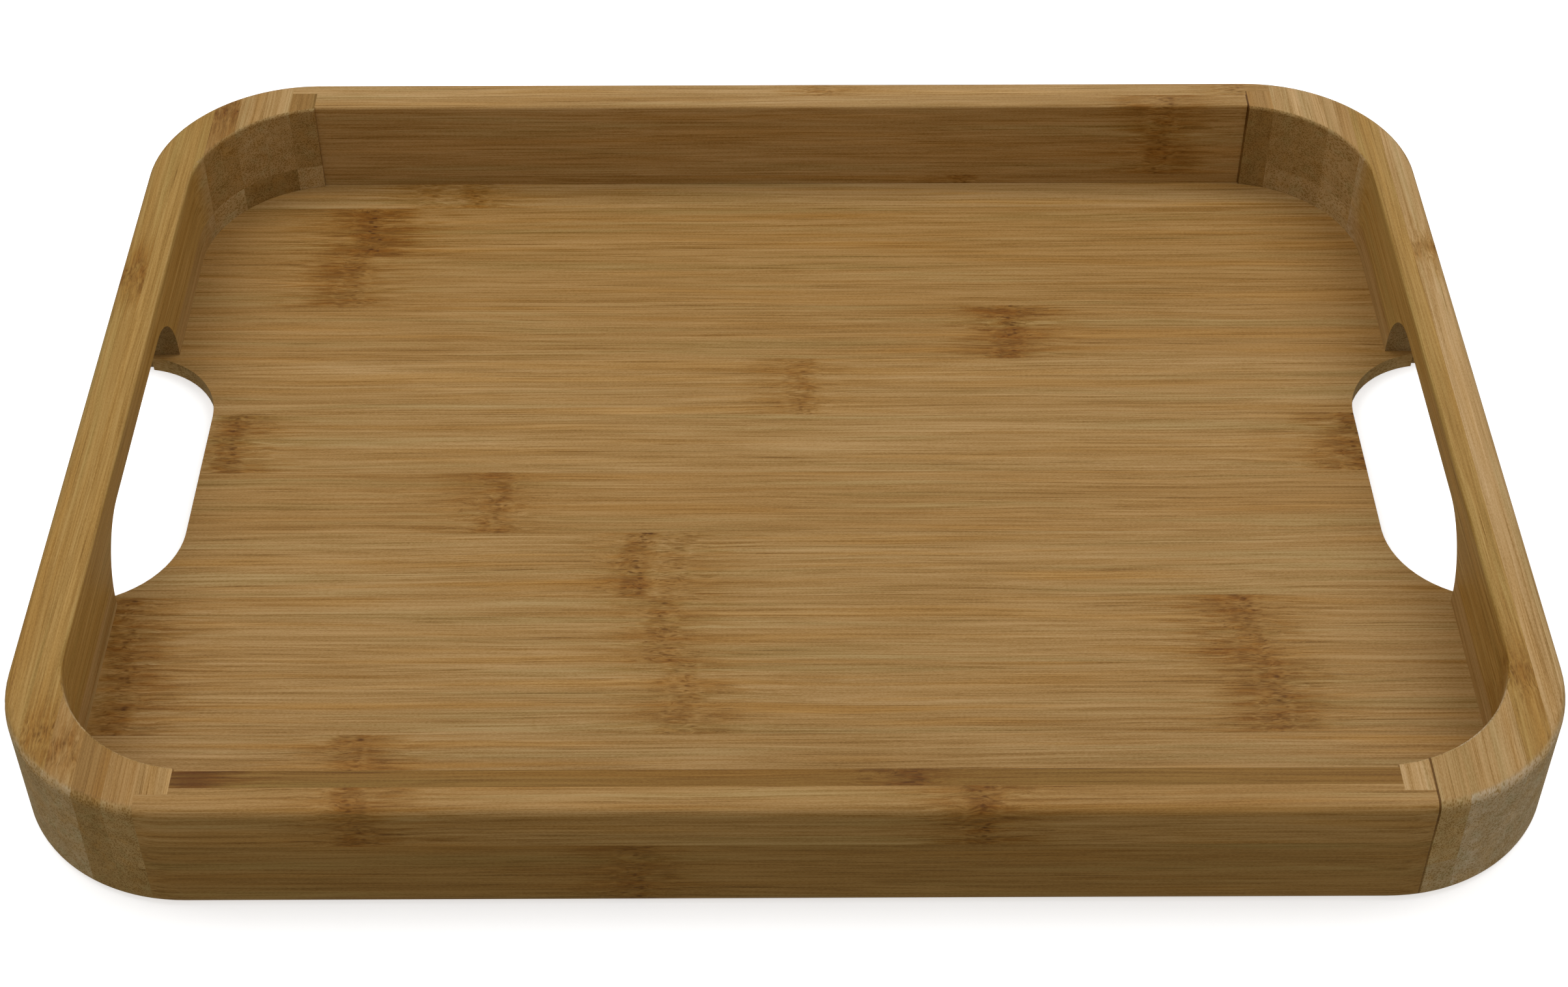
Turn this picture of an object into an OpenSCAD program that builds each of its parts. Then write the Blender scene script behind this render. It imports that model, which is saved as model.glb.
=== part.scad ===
// Bamboo serving tray with two hand holes.
// The frame is a ring of glued bamboo strips: two long rails lapped into two end frames,
// whose round corners are built up from short blocks. The floor is a panel of edge-glued
// staves let into the underside of the frame.
// Origin: middle of the footprint, on the table. +X right, +Y to the back, +Z up.

/* [Tray] */
// Overall length, left to right
tray_l = 400; // [380:5:440]
// Overall width, front to back
tray_w = 310; // [300:2:330]
// Overall height of the frame
tray_h = 36; // [34:1:44]
// Outer radius of the corners
corner_r = 48; // [45:1:54]
// Inner radius of the corners
well_r = 40; // [37:1:41]

/* [Frame] */
// Thickness of the two end walls
end_t = 13.5; // [13:0.5:14]
// Thickness of the front and back rails
rail_t = 14; // [13.5:0.5:15]
// How far the corner blocks stand in front of the rails' inner faces
rail_step = 0.5; // [0.2:0.1:1]
// Thickness of the rail's lap over the first corner block
lap_t = 6; // [5:0.5:7]
// Thickness of the outer strips of the long rails
rail_outer_t = 8; // [7.5:0.5:9]
// Height of the glue line in the outer strips
outer_joint_z = 23; // [20:1:25]
// Height of the glue line in the rails' inner strips
rail_joint_z = 8.5; // [7.5:0.5:12]
// Height of the glue line in the end walls' inner strips and the corner blocks
block_joint_z = 13.6; // [12:0.2:16]

/* [Edges] */
// Rounding of the outer top edge
rim_r = 2.5; // [1:0.5:3]
// Rounding of the outer bottom edge
foot_r = 3; // [1:0.5:3.5]
// Rounding of the inner top edge
lip_r = 1; // [0.5:0.25:1.5]

/* [Floor] */
// Thickness of the floor panel
panel_t = 5; // [4:0.5:6]
// How far the panel is let in under the walls
seat_d = 8.5; // [8:0.5:9]
// Width of a full floor stave
stave_w = 25.6; // [25:0.2:26]

/* [Hand holes] */
// Length of the notch through the end wall
notch_l = 108; // [96:2:116]
// Height of the notch above the table
notch_h = 27; // [25:0.5:27]
// Radius of the notch's upper corners
notch_r = 20; // [16:1:22]
// Length of the opening in the floor
cut_l = 106; // [94:2:106]
// Reach of the opening in from the tray's end
cut_d = 28; // [24:1:30]

/* [Hidden] */
$fn = 96;
eps = 1;

strips_per_corner = 6;
block_count = 4;
full_staves = 10;
stave_count = full_staves + 2;
strip_w = corner_r / strips_per_corner;

half_l = tray_l / 2;
half_w = tray_w / 2;
joint_x = half_l - corner_r;
lap_y = half_w - lap_t;
well_x = half_l - end_t;
well_y = half_w - rail_t - rail_step;
panel_x = well_x + seat_d;
panel_y = well_y + seat_d;
panel_r = well_r + seat_d;

// Each corner: name, side along X, side along Y
CORNERS = [["front_left", -1, -1], ["front_right", 1, -1], ["back_left", -1, 1], ["back_right", 1, 1]];
// Each rail: name, side along Y
RAILS = [["front_rail", -1], ["back_rail", 1]];
// Each end wall: name, side along X
ENDS = [["left_end", -1], ["right_end", 1]];
LAYERS = ["outer", "inner"];
ROWS = ["upper", "lower"];

// Bamboo tones, from pale to golden brown
TONES = [[0.78, 0.64, 0.43], [0.74, 0.59, 0.37], [0.70, 0.54, 0.32], [0.66, 0.50, 0.30]];

// What is left of a square corner outside a quarter circle of radius r
module round_off(r) {
    difference() {
        square(r + eps);
        circle(r);
    }
}

// Solid from its middle out to reach, rounded at the rim and the foot
module body_section(reach) {
    difference() {
        square([reach, tray_h]);
        translate([reach - rim_r, tray_h - rim_r]) round_off(rim_r);
        translate([reach - foot_r, foot_r]) mirror([0, 1]) round_off(foot_r);
    }
}

// Hollow from its middle out to reach, flared at the top by the lip's rounding
module well_section(reach) {
    translate([0, -eps]) square([reach, tray_h + 2 * eps]);
    translate([reach, tray_h - lip_r]) {
        difference() {
            square([lip_r, lip_r + eps]);
            translate([lip_r, 0]) circle(lip_r);
        }
    }
}

// A section and its mirror image, drawn out along X or along Y and centred
module bar_x(length) {
    rotate([90, 0, 90]) linear_extrude(length, center = true) mirrored() children();
}

module bar_y(length) {
    rotate([90, 0, 0]) linear_extrude(length, center = true) mirrored() children();
}

module mirrored() {
    children();
    mirror([1, 0]) children();
}

// Copies at the four centres of a plan with round corners
module at_corners(x, y) {
    for (sx = [-1, 1], sy = [-1, 1]) translate([sx * x, sy * y, 0]) children();
}

// Outside shape of the whole frame
module outer_body() {
    bar_x(tray_l - 2 * corner_r) body_section(half_w);
    bar_y(tray_w - 2 * corner_r) body_section(half_l);
    at_corners(half_l - corner_r, half_w - corner_r) rotate_extrude() body_section(corner_r);
}

// Hollow between the end frames, with round corners
module well() {
    bar_x(2 * (well_x - well_r)) well_section(well_y);
    bar_y(2 * (well_y - well_r)) well_section(well_x);
    at_corners(well_x - well_r, well_y - well_r) rotate_extrude() well_section(well_r);
}

// Flat block with round corners, from z0 to z1
module round_block(x, y, r, z0, z1) {
    translate([-x, r - y, z0]) cube([2 * x, 2 * (y - r), z1 - z0]);
    translate([r - x, -y, z0]) cube([2 * (x - r), 2 * y, z1 - z0]);
    at_corners(x - r, y - r) translate([0, 0, z0]) cylinder(r = r, h = z1 - z0);
}

// Recess under the frame that takes the floor panel
module panel_seat() {
    round_block(panel_x, panel_y, panel_r, -eps, panel_t);
}

// Arched opening through both end walls, open at the bottom
module hand_notches() {
    flat = notch_l / 2 - notch_r;
    spring_z = notch_h - notch_r;
    rotate([90, 0, 90]) linear_extrude(tray_l + 2 * eps, center = true) {
        translate([-notch_l / 2, -eps]) square([notch_l, spring_z + eps]);
        translate([-flat, -eps]) square([2 * flat, notch_h + eps]);
        for (s = [-1, 1]) translate([s * flat, spring_z]) circle(notch_r);
    }
}

// Round-ended openings in the floor panel, centred on the tray's ends
module hand_cuts() {
    reach = cut_l / 2 - cut_d;
    for (sx = [-1, 1]) {
        translate([sx * half_l - cut_d, -reach, -eps]) cube([2 * cut_d, 2 * reach, panel_t + 2 * eps]);
        for (sy = [-1, 1]) {
            translate([sx * half_l, sy * reach, -eps]) cylinder(r = cut_d, h = panel_t + 2 * eps);
        }
    }
}

// Everything that the end frames and their corner blocks are cut from
module end_stock() {
    difference() {
        outer_body();
        well();
        panel_seat();
        hand_notches();
    }
}

// Everything that the front and back rails are cut from
module rail_stock() {
    difference() {
        outer_body();
        bar_x(tray_l + 2 * eps) well_section(half_w - rail_t);
        panel_seat();
    }
}

// Box between two opposite points, on the side of the tray given by sx and sy
module strip(sx, sy, low, high) {
    x = min(sx * low[0], sx * high[0]);
    y = min(sy * low[1], sy * high[1]);
    translate([x, y, low[2]]) cube(high - low);
}

// Heights between which a row of strips lies
function row_low(row, joint_z) = row == "upper" ? joint_z : -eps;
function row_high(row, joint_z) = row == "upper" ? tray_h + eps : joint_z;

// Front edge of a floor stave, counted from the front of the tray
function stave_edge(i) =
    i == 0 ? -panel_y
    : i == stave_count ? panel_y
    : (i - 1 - full_staves / 2) * stave_w;

// One lengthwise stave of the floor
module base_stave(i) {
    y0 = stave_edge(i - 1);
    y1 = stave_edge(i);
    color(TONES[(i * 3) % 4]) difference() {
        intersection() {
            round_block(panel_x, panel_y, panel_r, 0, panel_t);
            translate([-half_l, y0, -eps]) cube([tray_l, y1 - y0, panel_t + 2 * eps]);
        }
        hand_cuts();
    }
}

// One strip of the front or back rail; the outer strips lap over the first corner blocks
module rail_strip(side, layer, row) {
    joint_z = layer == "outer" ? outer_joint_z : rail_joint_z;
    z0 = row_low(row, joint_z);
    z1 = row_high(row, joint_z);
    split_y = half_w - rail_outer_t;
    near_y = layer == "outer" ? split_y : half_w - rail_t - eps;
    far_y = layer == "outer" ? half_w + eps : split_y;
    color(TONES[layer == "outer" ? 0 : 2]) intersection() {
        rail_stock();
        union() {
            strip(1, side, [-joint_x, near_y, z0], [joint_x, far_y, z1]);
            if (layer == "outer") {
                strip(1, side, [-joint_x - strip_w, lap_y, z0], [joint_x + strip_w, far_y, z1]);
            }
        }
    }
}

// One lengthwise strip of an end wall, which runs on into both corners
module end_strip(side, layer, row) {
    joint_z = layer == "outer" ? outer_joint_z : block_joint_z;
    x0 = half_l - (layer == "outer" ? 1 : 2) * strip_w;
    x1 = x0 + strip_w + (layer == "outer" ? eps : 0);
    low = [x0, -half_w, row_low(row, joint_z)];
    high = [x1, half_w, row_high(row, joint_z)];
    color(TONES[layer == "outer" ? 1 : 2]) intersection() {
        end_stock();
        strip(side, 1, low, high);
    }
}

// One short block of a corner, counted from the rail; the first one sits inside the lap
module corner_block(sx, sy, row, i) {
    x0 = joint_x + (i - 1) * strip_w;
    far_y = i == 1 ? lap_y : half_w + eps;
    low = [x0, 0, row_low(row, block_joint_z)];
    high = [x0 + strip_w, far_y, row_high(row, block_joint_z)];
    color(TONES[(i + (row == "upper" ? 0 : 1)) % 4]) intersection() {
        end_stock();
        strip(sx, sy, low, high);
    }
}

for (i = [1:stave_count]) {
    base_stave(i);
}
for (r = RAILS, layer = LAYERS, row = ROWS) {
    rail_strip(r[1], layer, row);
}
for (e = ENDS, layer = LAYERS, row = ROWS) {
    end_strip(e[1], layer, row);
}
for (c = CORNERS, row = ROWS, i = [1:block_count]) {
    corner_block(c[1], c[2], row, i);
}
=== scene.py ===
"""Looks for the bamboo serving tray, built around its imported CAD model.

Every CAD node is one glued strip of bamboo and stays as it is. Modifiers ease its edges, so that
the glue lines show as hairline grooves, and each strip gets its own bamboo: its tone, the run of
its fibres and its knots. Sizes are in metres, and the bamboo's pattern is worked out in millimetres.
"""

import math

import bpy
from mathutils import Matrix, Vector


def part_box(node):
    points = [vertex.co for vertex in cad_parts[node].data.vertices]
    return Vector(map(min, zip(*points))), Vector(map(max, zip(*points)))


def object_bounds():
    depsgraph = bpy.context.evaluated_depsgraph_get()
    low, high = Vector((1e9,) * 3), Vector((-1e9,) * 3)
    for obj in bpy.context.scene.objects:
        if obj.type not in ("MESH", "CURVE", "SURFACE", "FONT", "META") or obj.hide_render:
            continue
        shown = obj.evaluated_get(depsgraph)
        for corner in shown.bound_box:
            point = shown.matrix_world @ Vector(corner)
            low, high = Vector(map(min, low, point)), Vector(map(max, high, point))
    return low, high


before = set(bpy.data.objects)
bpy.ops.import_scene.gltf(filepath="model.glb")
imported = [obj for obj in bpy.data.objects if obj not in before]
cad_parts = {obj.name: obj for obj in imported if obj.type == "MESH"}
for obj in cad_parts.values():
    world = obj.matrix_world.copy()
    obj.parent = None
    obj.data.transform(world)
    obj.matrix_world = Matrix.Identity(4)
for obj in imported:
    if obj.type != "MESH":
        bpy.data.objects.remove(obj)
cad_low, cad_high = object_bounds()

MM = 0.001

# ---------------------------------------------------------------- camera

# The camera stands in front of the tray and looks down at it, a little short of its middle
CAMERA_PLACE = Vector((-0.0026, -0.5695, 0.5341))
CAMERA_DOWN = math.radians(43.37)
CAMERA_RIGHT = math.radians(0.27)
CAMERA_LENS = 60.57
SENSOR_WIDTH = 36.0


def add_camera():
    """A camera without depth of field or shift."""
    data = bpy.data.cameras.new("camera")
    data.lens = CAMERA_LENS
    data.sensor_width = SENSOR_WIDTH
    data.clip_start = 0.01
    data.clip_end = 20.0
    camera = bpy.data.objects.new("camera", data)
    camera.location = CAMERA_PLACE
    camera.rotation_euler = (math.pi / 2 - CAMERA_DOWN, 0.0, -CAMERA_RIGHT)
    bpy.context.scene.collection.objects.link(camera)
    bpy.context.scene.camera = camera


# ---------------------------------------------------------------- node trees


class Graph:
    """Short ways to make and join the nodes of one tree."""

    def __init__(self, tree):
        self.tree = tree

    def add(self, kind, inputs=None, **settings):
        """A node with its settings, whose inputs are joined or set by name or number."""
        node = self.tree.nodes.new(kind)
        for name, value in settings.items():
            setattr(node, name, value)
        for key, value in (inputs or {}).items():
            self.join(value, node.inputs[key])
        return node

    def join(self, value, socket):
        if isinstance(value, bpy.types.NodeSocket):
            self.tree.links.new(value, socket)
        else:
            socket.default_value = value

    def maths(self, operation, a, b=0.0, c=0.0):
        node = self.add("ShaderNodeMath", {0: a, 1: b, 2: c}, operation=operation)
        return node.outputs[0]

    def times(self, a, b):
        return self.maths("MULTIPLY", a, b)

    def times_plus(self, a, b, c):
        """a times b, plus c."""
        return self.maths("MULTIPLY_ADD", a, b, c)

    def distance(self, a, b=0.0):
        return self.maths("ABSOLUTE", self.maths("SUBTRACT", a, b))

    def vector_maths(self, operation, a, b=(0.0, 0.0, 0.0)):
        node = self.add("ShaderNodeVectorMath", {0: a, 1: b}, operation=operation)
        return node.outputs[0]

    def parts(self, vector):
        """The three components of a vector."""
        return self.add("ShaderNodeSeparateXYZ", {0: vector}).outputs

    def vector(self, x, y, z):
        return self.add("ShaderNodeCombineXYZ", {0: x, 1: y, 2: z}).outputs[0]

    def swapped(self, vector):
        """The vector with its first two components exchanged."""
        x, y, z = self.parts(vector)
        return self.vector(y, x, z)

    def step(self, value, start, end, low=0.0, high=1.0):
        """Runs smoothly from low, where value is at start, to high, where it is at end."""
        inputs = {"Value": value, "From Min": start, "From Max": end, "To Min": low, "To Max": high}
        node = self.add("ShaderNodeMapRange", inputs, interpolation_type="SMOOTHSTEP")
        return node.outputs[0]

    def fade(self, value, start, end):
        """Runs smoothly from 1, where value is at start, to 0, where it is at end."""
        return self.step(value, start, end, 1.0, 0.0)

    def noise(self, run, along, across, detail=1.0, roughness=0.5):
        """Noise about 0.5, with features this long along the fibres and this wide across them."""
        scaled = self.vector_maths("DIVIDE", run, (along, across, across))
        inputs = {"Vector": scaled, "Scale": 1.0, "Detail": detail, "Roughness": roughness}
        return self.add("ShaderNodeTexNoise", inputs).outputs[0]

    def dots(self, run, along, across, randomness):
        """The distance to the nearest of many scattered dots, as a share of their spacing."""
        scaled = self.vector_maths("DIVIDE", run, (along, across, across))
        inputs = {"Vector": scaled, "Scale": 1.0, "Randomness": randomness}
        return self.add("ShaderNodeTexVoronoi", inputs).outputs["Distance"]

    def weigh(self, *layers):
        """The sum of (noise, weight) layers, each counted from its middle value of 0.5."""
        total = 0.0
        for noise, weight in layers:
            total = self.times_plus(noise, weight, total)
        return self.maths("SUBTRACT", total, sum(weight for _, weight in layers) / 2)

    def mix(self, share, a, b):
        node = self.add("ShaderNodeMix", data_type="RGBA")
        for value, name in ((share, "Factor_Float"), (a, "A_Color"), (b, "B_Color")):
            self.join(value, next(s for s in node.inputs if s.identifier == name))
        return next(s for s in node.outputs if s.identifier == "Result_Color")

    def mix_number(self, share, a, b):
        node = self.add("ShaderNodeMix", {0: share, 2: a, 3: b}, data_type="FLOAT")
        return node.outputs[0]

    def tint(self, share, colour, by):
        """The colour multiplied by another one, as far as share says."""
        return self.mix(share, colour, self.vector_maths("MULTIPLY", colour, by))

    def group(self, tree, settings):
        """A node of this group, with its inputs joined or set by name."""
        return self.add("ShaderNodeGroup", settings, node_tree=tree).outputs


def new_group(name, inputs, outputs):
    """An empty node group with these sockets, and its graph, input node and output node."""
    tree = bpy.data.node_groups.new(name, "ShaderNodeTree")
    for socket, kind in inputs.items():
        tree.interface.new_socket(socket, in_out="INPUT", socket_type=kind)
    for socket, kind in outputs.items():
        tree.interface.new_socket(socket, in_out="OUTPUT", socket_type=kind)
    graph = Graph(tree)
    return graph, graph.add("NodeGroupInput"), graph.add("NodeGroupOutput")


NUMBER, COLOUR, VECTOR = "NodeSocketFloat", "NodeSocketColor", "NodeSocketVector"

# ---------------------------------------------------------------- bamboo

# In all of these the first axis runs along the fibres, and lengths are in millimetres. Pairs are
# where something begins to change and where it has changed.

# How far apart in the pattern two strips lie, for each step of their seed
SEED_STEP = (311.0, 47.0, 83.0)
# How far the fibres wander to either side as they run
WANDER = 1.2

# How far the torn fibres of a knot stray along the strip
KNOT_STRAY = 5.0
TORN_HALF_WIDTH = (4.0, 6.4)
STAIN_HALF_WIDTH = (2.0, 7.0)
# The middle and half width of the column of pits in a knot
PITS_AT = 1.2
PITS_HALF_WIDTH = (1.2, 2.2)
# How far the brown haze and the waves of the fibres reach on both sides of a knot
DENSE_HAZE = (3.0, 20.0)
THIN_HAZE = (3.0, 46.0)
WAVES = (5.0, 20.0)

# How much darker these are than the bamboo about them, where 1 is 2.7 times
STAIN_DEPTH = 0.55
PIT_DEPTH = 0.75
OPEN_LINE_DEPTH = 0.32
OPEN_JOINT_DEPTH = 1.1
# As bamboo darkens it keeps more of its red than of its green, and least of its blue
DARKENING = (1.0, 1.32, 2.3)
# By what the colour is multiplied where the bamboo turns olive, reddish or orange
OLIVE = (0.97, 1.05, 1.10)
REDDISH = (1.03, 0.92, 0.64)
ORANGE = (1.10, 0.94, 0.60)
# By what the sawn ends in the hand holes are multiplied: painted shade for the shadow they lie in
HAND_HOLE_SHADE = (0.62, 0.54, 0.38)
# A knot's brown is never stronger than this
MOST_BROWN = 1.15
# How squarely a face has to cut the fibres to show end grain: the cosine, at first and in full
END_GRAIN_FACING = (0.12, 0.45)
# Roughness, and what the fibres, end grain and stains add to it
ROUGHNESS, FIBRE_ROUGHNESS, END_ROUGHNESS, STAIN_ROUGHNESS = 0.38, 0.16, 0.14, 0.08


def make_run_group():
    """Where a point lies in a strip: fibres that lean a little and wander as they run."""
    inputs = {"Place": VECTOR, "Seed": NUMBER, "Lean": NUMBER}
    graph, given, result = new_group("fibre run", inputs, {"Place": VECTOR})
    place, seed = given.outputs["Place"], given.outputs["Seed"]
    offset = graph.vector(*(graph.times(seed, step) for step in SEED_STEP))
    seeded = graph.vector_maths("ADD", place, offset)
    wander = graph.noise(seeded, along=70.0, across=14.0)
    wander = graph.times_plus(wander, 2 * WANDER, -WANDER)
    sideways = graph.times_plus(graph.parts(place)[0], given.outputs["Lean"], wander)
    upwards = graph.times(sideways, 0.6)
    moved = graph.vector_maths("ADD", seeded, graph.vector(0.0, sideways, upwards))
    graph.join(moved, result.inputs["Place"])
    return graph.tree


def make_knot_group():
    """A bamboo node sawn through: a short band of torn fibres with a brown haze on both sides."""
    inputs = {"Place": VECTOR, "Run": VECTOR, "At": NUMBER, "Dark": NUMBER, "Haze": NUMBER,
              "Side": NUMBER, "Core so far": NUMBER, "Brown so far": NUMBER, "Pits so far": NUMBER,
              "Near so far": NUMBER}
    outputs = {"Core": NUMBER, "Brown": NUMBER, "Pits": NUMBER, "Near": NUMBER}
    graph, given, result = new_group("knot", inputs, outputs)
    run = given.outputs["Run"]
    dark = given.outputs["Dark"]
    along = graph.maths("SUBTRACT", graph.parts(given.outputs["Place"])[0], given.outputs["At"])
    distance = graph.distance(along)

    # The band of torn fibres is bent, and its edges are ragged
    ragged = graph.noise(run, along=400.0, across=1.3, detail=2.0)
    bent = graph.noise(run, along=400.0, across=9.0, detail=0.0)
    shift = graph.times_plus(ragged, KNOT_STRAY, graph.times_plus(bent, KNOT_STRAY, -KNOT_STRAY))
    shifted = graph.maths("ADD", along, shift)
    core = graph.fade(graph.distance(shifted), *TORN_HALF_WIDTH)
    core = graph.times(core, graph.step(dark, 0.0, 0.3))

    # A few pits stand in a column across the fibres
    pits = graph.fade(graph.dots(run, along=3.2, across=1.5, randomness=0.8), 0.12, 0.40)
    column = graph.fade(graph.distance(shifted, PITS_AT), *PITS_HALF_WIDTH)
    pits = graph.times(graph.times(pits, column), dark)

    # The haze is dense beside the knot, then follows the fibres away and thins out
    streaks = graph.noise(run, along=14.0, across=0.7, detail=2.0, roughness=0.6)
    streaks = graph.step(streaks, 0.42, 0.66)
    soft = graph.step(graph.noise(run, along=24.0, across=5.0), 0.3, 0.65)
    dense = graph.times(graph.fade(distance, *DENSE_HAZE), soft)
    thin = graph.times(graph.maths("POWER", graph.fade(distance, *THIN_HAZE), 1.5), streaks)
    haze = graph.times_plus(thin, 0.75, graph.times(dense, 0.7))
    to_right = graph.step(along, -8.0, 8.0, -1.0, 1.0)
    sided = graph.times_plus(to_right, given.outputs["Side"], 1.0)
    haze = graph.times(haze, graph.times(sided, given.outputs["Haze"]))

    # The band itself is stained in patches, and the haze is weaker over it
    patches = graph.step(graph.noise(run, along=7.0, across=2.0, detail=2.0), 0.30, 0.70)
    stained = graph.fade(graph.distance(shifted), *STAIN_HALF_WIDTH)
    brown = graph.times(graph.times(stained, graph.times_plus(patches, 0.9, 0.3)), dark)
    outside = graph.maths("SUBTRACT", 1.0, core)
    brown = graph.times_plus(haze, graph.times_plus(outside, 0.6, 0.4), brown)

    near = graph.times(graph.fade(distance, *WAVES), dark)
    for name, value in (("Core", core), ("Brown", brown), ("Pits", pits), ("Near", near)):
        most = graph.maths("MAXIMUM", value, given.outputs[name + " so far"])
        graph.join(most, result.inputs[name])
    return graph.tree


def make_bamboo_group():
    """Bamboo: long fibres on the faces along the grain, and cut bundles on the ends."""
    inputs = {"Run": VECTOR, "Facing": VECTOR, "Tone": COLOUR, "End tone": COLOUR, "Red": NUMBER,
              "Streaks": NUMBER, "Core": NUMBER, "Brown": NUMBER, "Pits": NUMBER, "Near": NUMBER,
              "Hole shade": NUMBER, "Gap": NUMBER}
    outputs = {"Colour": COLOUR, "Roughness": NUMBER, "Height": NUMBER}
    graph, given, result = new_group("bamboo", inputs, outputs)
    core = given.outputs["Core"]
    pits = given.outputs["Pits"]
    gap = given.outputs["Gap"]
    brown = graph.maths("MINIMUM", given.outputs["Brown"], MOST_BROWN)

    # Fibres run straight, except beside a knot, where they wave
    straight = given.outputs["Run"]
    waves = graph.weigh((graph.noise(straight, along=9.0, across=3.5), 4.0))
    waves = graph.times(waves, given.outputs["Near"])
    run = graph.vector_maths("ADD", straight, graph.vector(0.0, waves, waves))

    # Lightness along the grain: long and short lines, fine fibres and short ticks
    long_lines = graph.noise(run, along=150.0, across=1.2)
    lines = graph.noise(run, along=42.0, across=0.6, detail=2.0)
    fibres = graph.noise(run, along=18.0, across=0.27)
    ticks = graph.noise(run, along=0.8, across=0.2)
    calm = graph.weigh((long_lines, 0.42), (lines, 0.88), (fibres, 0.45), (ticks, 0.55))

    # Short broken fibres in the knots
    sway = graph.weigh((graph.noise(run, along=3.5, across=2.2), 1.0))
    torn_run = graph.vector_maths("ADD", run, graph.vector(0.0, sway, sway))
    torn = graph.noise(torn_run, along=3.6, across=0.4, roughness=0.6)
    light = graph.mix_number(core, calm, graph.weigh((torn, 1.35), (ticks, 0.4)))

    # Thin dark lines where a bundle of fibres lies open
    open_lines = graph.step(graph.noise(run, along=36.0, across=0.36), 0.60, 0.74)
    where = graph.step(graph.noise(run, along=60.0, across=4.0), 0.36, 0.66)
    open_lines = graph.times(open_lines, where)
    light = graph.times_plus(open_lines, -OPEN_LINE_DEPTH, light)

    # Light lines are never as bright as dark ones are dark
    light = graph.times(light, given.outputs["Streaks"])
    light = graph.times(light, graph.maths("SUBTRACT", 1.0, light))

    # Broad bands, then the brown stain and the pits of knots
    bands = graph.noise(run, along=90.0, across=5.0, detail=2.0)
    light = graph.maths("ADD", light, graph.weigh((bands, 0.3)))
    light = graph.times_plus(brown, -STAIN_DEPTH, light)
    light = graph.times_plus(pits, -PIT_DEPTH, light)

    # End grain: bundles cut across, crowded in some places and sparse in others
    bundle = graph.dots(run, along=60.0, across=0.55, randomness=0.9)
    crowd = graph.noise(run, along=300.0, across=4.0, detail=2.0)
    size = graph.times_plus(crowd, 0.5, 0.12)
    bundles = graph.fade(graph.maths("DIVIDE", bundle, size), 0.5, 1.5)
    grains = graph.noise(run, along=300.0, across=0.25)
    clouds = graph.noise(run, along=300.0, across=3.0, detail=3.0)
    end_light = graph.weigh((bundles, -0.42), (grains, 0.55), (clouds, 0.45))
    facing_along = graph.distance(graph.parts(given.outputs["Facing"])[0])
    end = graph.step(facing_along, *END_GRAIN_FACING)
    light = graph.mix_number(end, light, end_light)
    # The sawn ends in the hand holes get painted shade
    end_tone = graph.tint(given.outputs["Hole shade"], given.outputs["End tone"], HAND_HOLE_SHADE)
    tone = graph.mix(end, given.outputs["Tone"], end_tone)
    light = graph.times_plus(gap, -OPEN_JOINT_DEPTH, light)

    depth = graph.vector_maths("MULTIPLY", graph.vector(light, light, light), DARKENING)
    factors = (graph.maths("EXPONENT", part) for part in graph.parts(depth))
    colour = graph.vector_maths("MULTIPLY", tone, graph.vector(*factors))

    # Slow changes from olive to reddish brown, and orange patches in the stains
    hue = graph.noise(run, along=110.0, across=4.0, detail=2.0)
    colour = graph.tint(graph.step(hue, 0.50, 0.28), colour, OLIVE)
    reddish = graph.times(graph.step(hue, 0.50, 0.72), given.outputs["Red"])
    colour = graph.tint(reddish, colour, REDDISH)
    orange = graph.step(graph.noise(run, along=9.0, across=1.4), 0.44, 0.62, 0.4, 1.0)
    colour = graph.tint(graph.times(orange, brown), colour, ORANGE)

    # Oiled satin, a little duller on the end grain and in the stains
    roughness = graph.times_plus(fibres, FIBRE_ROUGHNESS, ROUGHNESS)
    roughness = graph.times_plus(end, END_ROUGHNESS, roughness)
    roughness = graph.times_plus(brown, STAIN_ROUGHNESS, roughness)

    # Relief: fibres stand proud, and open lines, pits and cut bundles lie deeper
    calm_height = graph.weigh((lines, 0.5), (fibres, 0.5))
    height = graph.mix_number(core, calm_height, graph.weigh((torn, 1.8)))
    height = graph.times_plus(open_lines, -0.5, height)
    height = graph.times_plus(pits, -1.5, height)
    height = graph.mix_number(end, height, graph.times(bundles, -0.4))
    height = graph.times_plus(gap, -3.0, height)

    graph.join(colour, result.inputs["Colour"])
    graph.join(roughness, result.inputs["Roughness"])
    graph.join(height, result.inputs["Height"])
    return graph.tree


RUN_GROUP = make_run_group()
KNOT_GROUP = make_knot_group()
BAMBOO_GROUP = make_bamboo_group()


# Painted shade on the end walls' sawn ends in the hand holes, this far each way from the middle of
# the tray
HAND_HOLE_SHADE_HALF_LENGTH = (70.0, 84.0)
# An open joint's dark line fades out this far to each side of it
OPEN_JOINT_HALF_WIDTH = (0.16, 0.352)
# Its share of its full depth at the foot of the tray, and where it begins to grow, as a share
# of the tray's height
OPEN_JOINT_LOW, OPEN_JOINT_GROWS = 0.45, 0.6

RELIEF_STRENGTH, RELIEF_DEPTH = 0.6, 0.12
SHINE = 0.18


def open_joint(graph, place, gap):
    """1 on the line of the open joint at this x, weaker towards the foot of the tray."""
    x, _, z = graph.parts(place)
    line = graph.fade(graph.distance(x, gap / MM), *OPEN_JOINT_HALF_WIDTH)
    top = cad_high.z / MM
    return graph.times(line, graph.step(z, OPEN_JOINT_GROWS * top, top, OPEN_JOINT_LOW, 1.0))


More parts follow.
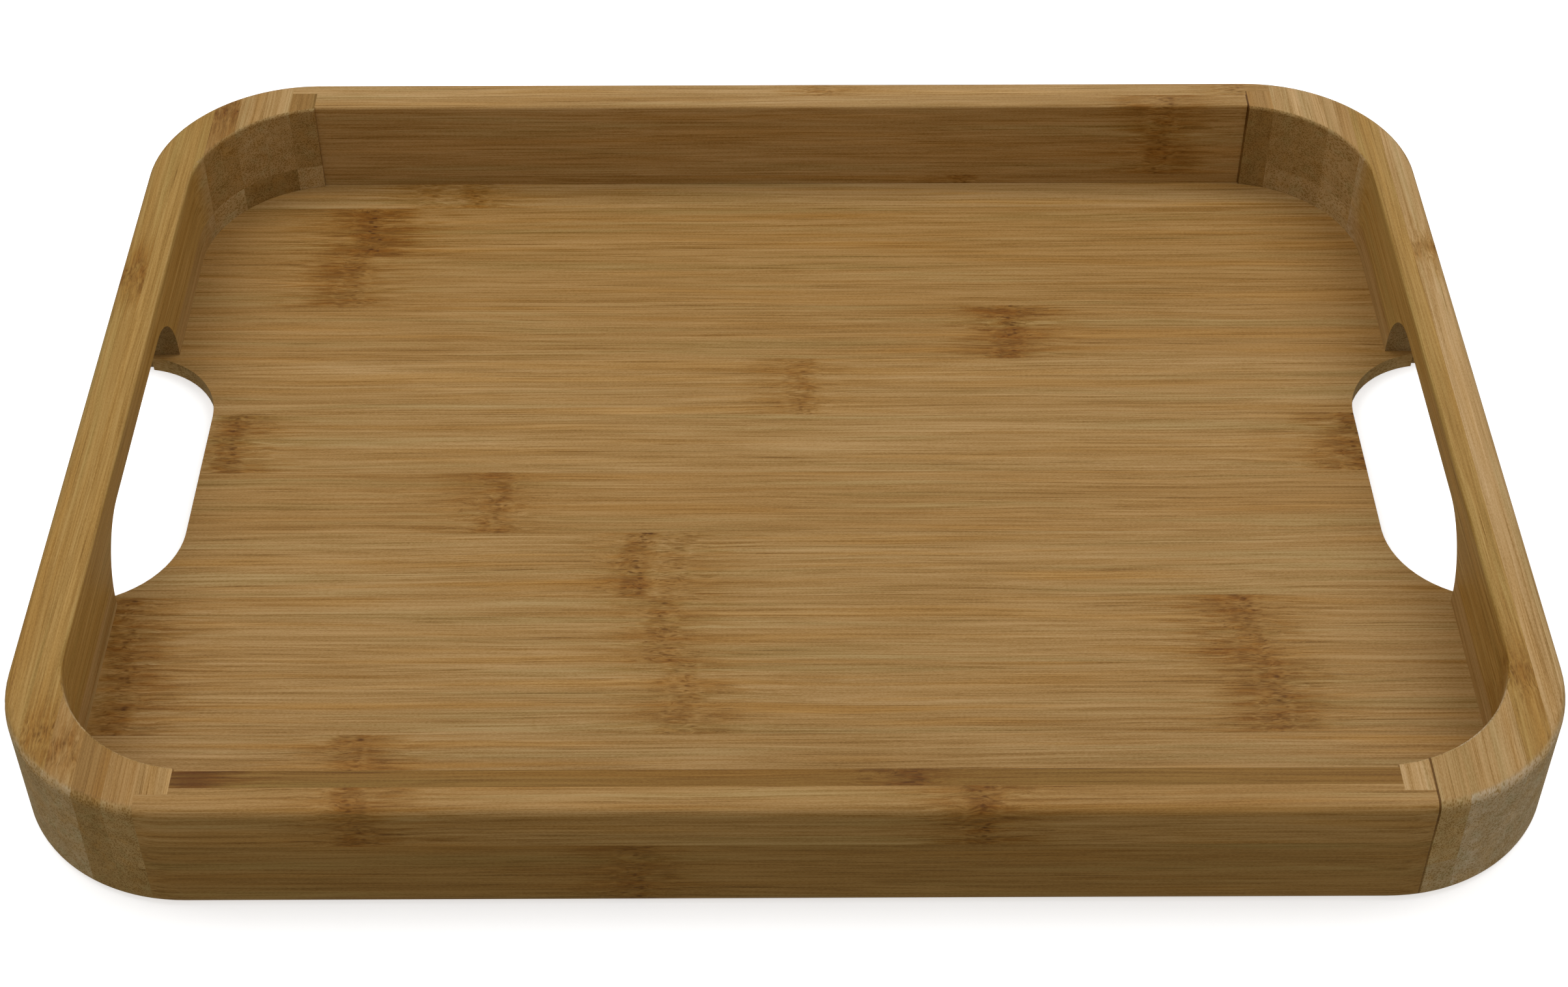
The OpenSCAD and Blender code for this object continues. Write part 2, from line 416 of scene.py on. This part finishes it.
def add_knots(graph, place, run, knots, start, length):
    """The marks of all of a strip's knots, whose places are shares of length beyond start."""
    marks = {"Core": 0.0, "Brown": 0.0, "Pits": 0.0, "Near": 0.0}
    for share, dark, haze, side in knots:
        settings = {"Place": place, "Run": run, "At": (start + share * length) / MM,
                    "Dark": dark, "Haze": haze, "Side": side}
        settings.update({name + " so far": value for name, value in marks.items()})
        found = graph.group(KNOT_GROUP, settings)
        marks = {name: found[name] for name in marks}
    return marks


def bamboo(node, grain, look, knots, gap, seed, lean, streaks):
    """The material of one strip. Its fibres run along grain, "x" or "y", and look is its tone, end
    tone and redness. knots says where, as a share of the tray's own length that way, how dark, how
    hazy and to which side the haze leans. A gap is the x of an open joint."""
    tone, end_tone, red = look
    material = bpy.data.materials.new(node)
    material.use_nodes = True
    tree = material.node_tree
    tree.nodes.clear()
    graph = Graph(tree)

    place = graph.add("ShaderNodeTexCoord").outputs["Object"]
    place = graph.vector_maths("DIVIDE", place, (MM, MM, MM))
    facing = graph.add("ShaderNodeNewGeometry").outputs["Normal"]
    opened = open_joint(graph, place, gap) if gap is not None else 0.0
    hole_shade = 0.0
    # Painted shade on the sawn ends in the hand holes, by the middle of the end walls
    if "_end_" in node:
        hole_shade = graph.fade(graph.distance(graph.parts(place)[1]), *HAND_HOLE_SHADE_HALF_LENGTH)
    if grain == "y":
        place = graph.swapped(place)
        facing = graph.swapped(facing)
    axis = "xy".index(grain)
    start, length = cad_low[axis], cad_high[axis] - cad_low[axis]

    run = graph.group(RUN_GROUP, {"Place": place, "Seed": float(seed), "Lean": lean})["Place"]
    settings = {"Run": run, "Facing": facing, "Tone": (*TONES[tone], 1.0),
                "End tone": (*END_TONES[end_tone], 1.0), "Red": red, "Streaks": streaks,
                "Hole shade": hole_shade, "Gap": opened}
    settings.update(add_knots(graph, place, run, knots, start, length))
    wood = graph.group(BAMBOO_GROUP, settings)

    bump = graph.add("ShaderNodeBump", {"Height": wood["Height"]})
    bump.inputs["Strength"].default_value = RELIEF_STRENGTH
    bump.inputs["Distance"].default_value = RELIEF_DEPTH * MM
    shader = graph.add("ShaderNodeBsdfPrincipled")
    shader.inputs["Specular IOR Level"].default_value = SHINE
    graph.join(wood["Colour"], shader.inputs["Base Color"])
    graph.join(wood["Roughness"], shader.inputs["Roughness"])
    graph.join(bump.outputs[0], shader.inputs["Normal"])
    surface = graph.add("ShaderNodeOutputMaterial")
    graph.join(shader.outputs[0], surface.inputs["Surface"])
    return material


# ---------------------------------------------------------------- the strips

# Colours of bamboo strips along the grain, from raw to well steamed
TONES = {
    "pale": (0.427, 0.260, 0.101),
    "light": (0.383, 0.225, 0.078),
    "tan": (0.349, 0.199, 0.064),
    "golden": (0.344, 0.194, 0.047),
    "honey": (0.328, 0.180, 0.053),
    "caramel": (0.301, 0.163, 0.046),
    "brown": (0.262, 0.137, 0.033),
    "dark": (0.215, 0.107, 0.019),
}
# The same across the grain. The greyer ones, ash and grey, also hold a painted sheen: the white
# surroundings' reflection on the end grain of the outer corners
END_TONES = {
    "ash": (0.369, 0.247, 0.116),
    "grey": (0.320, 0.204, 0.082),
    "drab": (0.325, 0.194, 0.064),
    "hazel": (0.286, 0.165, 0.050),
    "umber": (0.247, 0.138, 0.037),
    "bark": (0.209, 0.112, 0.026),
}

# Each strip's tone, end tone and redness where they are not the plain ones
PLAIN = ("tan", "hazel", 0.5)
STRIPS = {
    "base_stave_2": ("tan", "drab", 0.9),
    "base_stave_3": ("tan", "drab", 0.8),
    "base_stave_4": ("tan", "drab", 0.5),
    "base_stave_5": ("tan", "drab", 0.9),
    "base_stave_6": ("honey", "drab", 0.5),
    "base_stave_9": ("honey", "drab", 0.6),
    "base_stave_10": ("honey", "drab", 0.5),
    "base_stave_11": ("honey", "drab", 0.6),
    "base_stave_12": ("light", "drab", 0.8),
    "front_rail_outer_upper": ("honey", "drab", 0.6),
    "front_rail_outer_lower": ("brown", "drab", 0.5),
    "front_rail_inner_upper": ("dark", "umber", 0.6),
    "front_rail_inner_lower": ("caramel", "umber", 0.5),
    "back_rail_outer_upper": ("light", "drab", 0.4),
    "back_rail_outer_lower": ("honey", "drab", 0.5),
    "back_rail_inner_upper": ("tan", "drab", 0.4),
    "back_rail_inner_lower": ("honey", "drab", 0.5),
    "left_end_outer_upper": ("golden", "grey", 0.5),
    "left_end_outer_lower": ("honey", "grey", 0.5),
    "left_end_inner_upper": ("golden", "grey", 0.3),
    "left_end_inner_lower": ("tan", "grey", 0.3),
    "right_end_outer_upper": ("pale", "ash", 0.3),
    "right_end_outer_lower": ("light", "ash", 0.5),
    "right_end_inner_upper": ("golden", "ash", 0.6),
    "right_end_inner_lower": ("tan", "ash", 0.3),
    "back_left_block_upper_1": ("brown", "umber", 0.5),
    "back_left_block_upper_2": ("light", "hazel", 0.3),
    "back_left_block_upper_3": ("tan", "hazel", 0.4),
    "back_left_block_upper_4": ("caramel", "umber", 0.6),
    "back_left_block_lower_1": ("tan", "drab", 0.4),
    "back_left_block_lower_2": ("caramel", "bark", 0.5),
    "back_left_block_lower_3": ("caramel", "bark", 0.5),
    "back_left_block_lower_4": ("caramel", "drab", 0.4),
    "back_right_block_upper_1": ("honey", "bark", 0.5),
    "back_right_block_upper_2": ("pale", "umber", 0.3),
    "back_right_block_upper_3": ("pale", "umber", 0.3),
    "back_right_block_upper_4": ("tan", "hazel", 0.3),
    "back_right_block_lower_1": ("caramel", "bark", 0.5),
    "back_right_block_lower_2": ("tan", "hazel", 0.5),
    "back_right_block_lower_3": ("tan", "hazel", 0.5),
    "back_right_block_lower_4": ("honey", "drab", 0.5),
    "front_left_block_upper_1": ("light", "drab", 0.4),
    "front_left_block_upper_2": ("honey", "hazel", 0.5),
    "front_left_block_upper_3": ("brown", "umber", 0.8),
    "front_left_block_upper_4": ("tan", "grey", 0.5),
    "front_left_block_lower_2": ("tan", "umber", 0.5),
    "front_left_block_lower_3": ("tan", "umber", 0.5),
    "front_left_block_lower_4": ("tan", "grey", 0.5),
    "front_right_block_upper_1": ("pale", "drab", 0.3),
    "front_right_block_upper_2": ("light", "drab", 0.3),
    "front_right_block_upper_3": ("light", "ash", 0.4),
    "front_right_block_upper_4": ("light", "ash", 0.4),
    "front_right_block_lower_2": ("tan", "grey", 0.5),
    "front_right_block_lower_3": ("tan", "ash", 0.5),
    "front_right_block_lower_4": ("tan", "ash", 0.5),
}
# Knots: (share of the tray's length, or of its depth in strips that run across it, darkness,
# haze, and the side to which the haze leans, from -1 to 1)
KNOTS = {
    "base_stave_1": ((0.30, 0.5, 0.5, 0.0),),
    "base_stave_2": ((0.212, 0.6, 0.6, 0.2),),
    "base_stave_3": ((0.05, 0.7, 0.6, 0.5), (0.431, 0.5, 0.5, 0.0), (0.83, 0.6, 0.8, 0.0)),
    "base_stave_4": ((0.042, 0.8, 0.6, 0.5), (0.414, 0.55, 0.5, 0.0), (0.82, 0.7, 0.8, -0.3)),
    "base_stave_5": ((0.395, 0.8, 0.4, -0.3), (0.422, 0.3, 0.3, 0.6)),
    "base_stave_6": ((0.289, 0.65, 0.5, -0.3),),
    "base_stave_7": ((0.0875, 0.8, 0.6, 0.3), (0.925, 0.9, 0.6, -0.4)),
    "base_stave_8": ((0.512, 0.5, 0.4, -0.4),),
    "base_stave_9": ((0.677, 0.9, 0.8, -0.1),),
    "base_stave_10": ((0.157, 0.5, 0.9, -0.3),),
    "base_stave_11": ((0.163, 1.0, 1.3, 0.2),),
    "base_stave_12": ((0.245, 0.6, 0.4, 0.3), (0.21, 0.3, 0.4, 0.0)),
    "front_rail_outer_upper": ((0.2325, 0.65, 0.6, 0.3), (0.62, 0.75, 0.7, 0.0)),
    "front_rail_outer_lower": ((0.405, 0.5, 0.5, 0.0),),
    "front_rail_inner_upper": ((0.12, 0.0, 1.0, 0.8), (0.575, 0.8, 0.4, 0.0)),
    "back_rail_outer_upper": ((0.532, 0.5, 0.5, 0.0), (0.87, 0.4, 0.4, 0.0)),
    "back_rail_inner_upper": ((0.812, 0.55, 0.8, 0.0),),
    "back_rail_inner_lower": ((0.65, 0.5, 0.4, 0.0),),
    "left_end_outer_upper": ((0.68, 0.7, 0.6, 0.0),),
    "left_end_inner_upper": ((0.08, 0.4, 0.5, 0.0),),
    "right_end_outer_upper": ((0.71, 0.6, 0.4, 0.0),),
    "right_end_inner_upper": ((0.145, 0.5, 0.5, 0.0),),
    "back_left_block_upper_4": ((0.945, 0.6, 0.5, 0.0),),
    "front_left_block_upper_4": ((0.065, 0.5, 0.5, 0.0),),
}


# Blocks whose left side is a joint that has opened a little
OPEN_JOINTS = ("front_right_block_upper_2", "back_right_block_upper_1")

# How far the strips' edges are eased, in millimetres: the floor was sanded flat after gluing
EASED_FLOOR, EASED_FRAME = 0.07, 0.12
# The most that a strip's fibres lean out of its own direction, sideways for each unit along
MOST_LEAN = 0.006
# How strong the lines of the grain are
FLOOR_STREAKS, FRAME_STREAKS = 1.0, 0.95


def open_joint_beside(node):
    """The x of the open joint that a strip of the front or back touches, or None."""
    low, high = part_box(node)
    for block in OPEN_JOINTS:
        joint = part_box(block)[0].x
        touches = min(abs(low.x - joint), abs(high.x - joint)) < 0.1 * MM
        if touches and node.split("_")[0] == block.split("_")[0]:
            return joint
    return None


def ease_edges(strip, width):
    """Rounds a strip's sharp edges by a hair, as sanding does, so that glue lines catch the light."""
    weld = strip.modifiers.new("weld", "WELD")
    weld.merge_threshold = 0.001 * MM
    bevel = strip.modifiers.new("ease edges", "BEVEL")
    bevel.width = width * MM
    bevel.segments = 2
    bevel.limit_method = "ANGLE"
    bevel.angle_limit = math.radians(32)
    bevel.use_clamp_overlap = True
    normals = strip.modifiers.new("normals", "WEIGHTED_NORMAL")
    normals.keep_sharp = True
    normals.weight = 80


def dress_strips():
    """Gives every CAD node its bamboo and eased edges."""
    for seed, (name, strip) in enumerate(sorted(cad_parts.items()), start=1):
        in_floor = name.startswith("base_")
        grain = "y" if "_end_" in name or "_block_" in name else "x"
        look = STRIPS.get(name, PLAIN)
        knots = KNOTS.get(name, ())
        gap = open_joint_beside(name)
        lean = MOST_LEAN * math.sin(seed * 2.4)
        streaks = FLOOR_STREAKS if in_floor else FRAME_STREAKS
        material = bamboo(name, grain, look, knots, gap, seed, lean, streaks)
        for slot in strip.material_slots:
            slot.link = "OBJECT"
            slot.material = material
        ease_edges(strip, EASED_FLOOR if in_floor else EASED_FRAME)


# ---------------------------------------------------------------- floor and light

FLOOR_SIZE = 12.0
# The floor lies this far below the tray, in millimetres
FLOOR_GAP = 0.05
# The floor's own glow by the tray, and far from it, where the softboxes' light has faded
NEAR_GLOW, FAR_GLOW = 0.55, 0.8
FADE_START, FADE_END = 0.6, 2.5
WHITE = (1.0, 1.0, 1.0, 1.0)
FLOOR_WHITE = (0.9, 0.9, 0.9, 1.0)
# The colour of the light from below, and the strength of the light from all round
FROM_BELOW = (0.80, 0.76, 0.58, 1.0)
SKY_STRENGTH = 0.4

# Square area lights that point at the tray: place, side and power in watts
SOFTBOXES = {
    "softbox_above": ((0.0, 0.3, 1.3), 1.0, 1.2),
    "softbox_front": ((-0.3, -1.7, 0.9), 1.2, 3.95),
    "softbox_back": ((0.3, 1.8, 0.35), 1.2, 3.0),
    "softbox_left": ((-0.78, 0.3, 1.28), 1.0, 7.3),
    "softbox_right": ((0.78, 0.3, 1.28), 1.0, 7.3),
}


def add_floor():
    """A plain white floor under the tray. It glows a little, more where the softboxes don't reach."""
    half = FLOOR_SIZE / 2
    mesh = bpy.data.meshes.new("studio_floor")
    corners = [(-half, -half, 0.0), (half, -half, 0.0), (half, half, 0.0), (-half, half, 0.0)]
    mesh.from_pydata(corners, [], [(0, 1, 2, 3)])
    floor = bpy.data.objects.new("studio_floor", mesh)
    floor.location.z = cad_low.z - FLOOR_GAP * MM
    material = bpy.data.materials.new("studio_floor")
    material.use_nodes = True
    shader = material.node_tree.nodes["Principled BSDF"]
    shader.inputs["Base Color"].default_value = FLOOR_WHITE
    shader.inputs["Roughness"].default_value = 0.9
    shader.inputs["Emission Color"].default_value = WHITE
    graph = Graph(material.node_tree)
    place = graph.add("ShaderNodeTexCoord").outputs["Object"]
    away = graph.add("ShaderNodeVectorMath", {0: place}, operation="LENGTH").outputs["Value"]
    glow = graph.step(away, FADE_START, FADE_END, NEAR_GLOW, FAR_GLOW)
    graph.join(glow, shader.inputs["Emission Strength"])
    mesh.materials.append(material)
    floor.visible_diffuse = False
    floor.visible_glossy = False
    bpy.context.scene.collection.objects.link(floor)


def add_softbox(name, place, size, power):
    """A square area light at place that points at the tray, and that the camera doesn't see."""
    data = bpy.data.lights.new(name, "AREA")
    data.shape = "SQUARE"
    data.size = size
    data.energy = power
    light = bpy.data.objects.new(name, data)
    light.location = place
    light.rotation_euler = (-Vector(place)).to_track_quat("-Z", "Y").to_euler()
    light.visible_camera = False
    bpy.context.scene.collection.objects.link(light)


def add_world():
    """Soft light from all round, dimmer and warmer from below. The camera sees plain white."""
    world = bpy.data.worlds.new("studio")
    world.use_nodes = True
    world.node_tree.nodes.clear()
    graph = Graph(world.node_tree)
    direction = graph.add("ShaderNodeTexCoord").outputs["Generated"]
    level = graph.step(graph.parts(direction)[2], -0.1, 0.5)
    colour = graph.mix(level, FROM_BELOW, WHITE)
    sky = graph.add("ShaderNodeBackground", {"Color": colour, "Strength": SKY_STRENGTH})
    white = graph.add("ShaderNodeBackground", {"Color": WHITE, "Strength": 1.0})
    path = graph.add("ShaderNodeLightPath").outputs["Is Camera Ray"]
    seen = graph.add("ShaderNodeMixShader", {0: path, 1: sky.outputs[0], 2: white.outputs[0]})
    surface = graph.add("ShaderNodeOutputWorld")
    graph.join(seen.outputs[0], surface.inputs["Surface"])
    bpy.context.scene.world = world


def add_stage():
    """Floor, lights and a plain rendering of colours."""
    add_floor()
    add_world()
    for name, (place, size, power) in SOFTBOXES.items():
        add_softbox(name, place, size, power)
    bpy.context.scene.view_settings.view_transform = "Standard"


add_camera()
dress_strips()
add_stage()
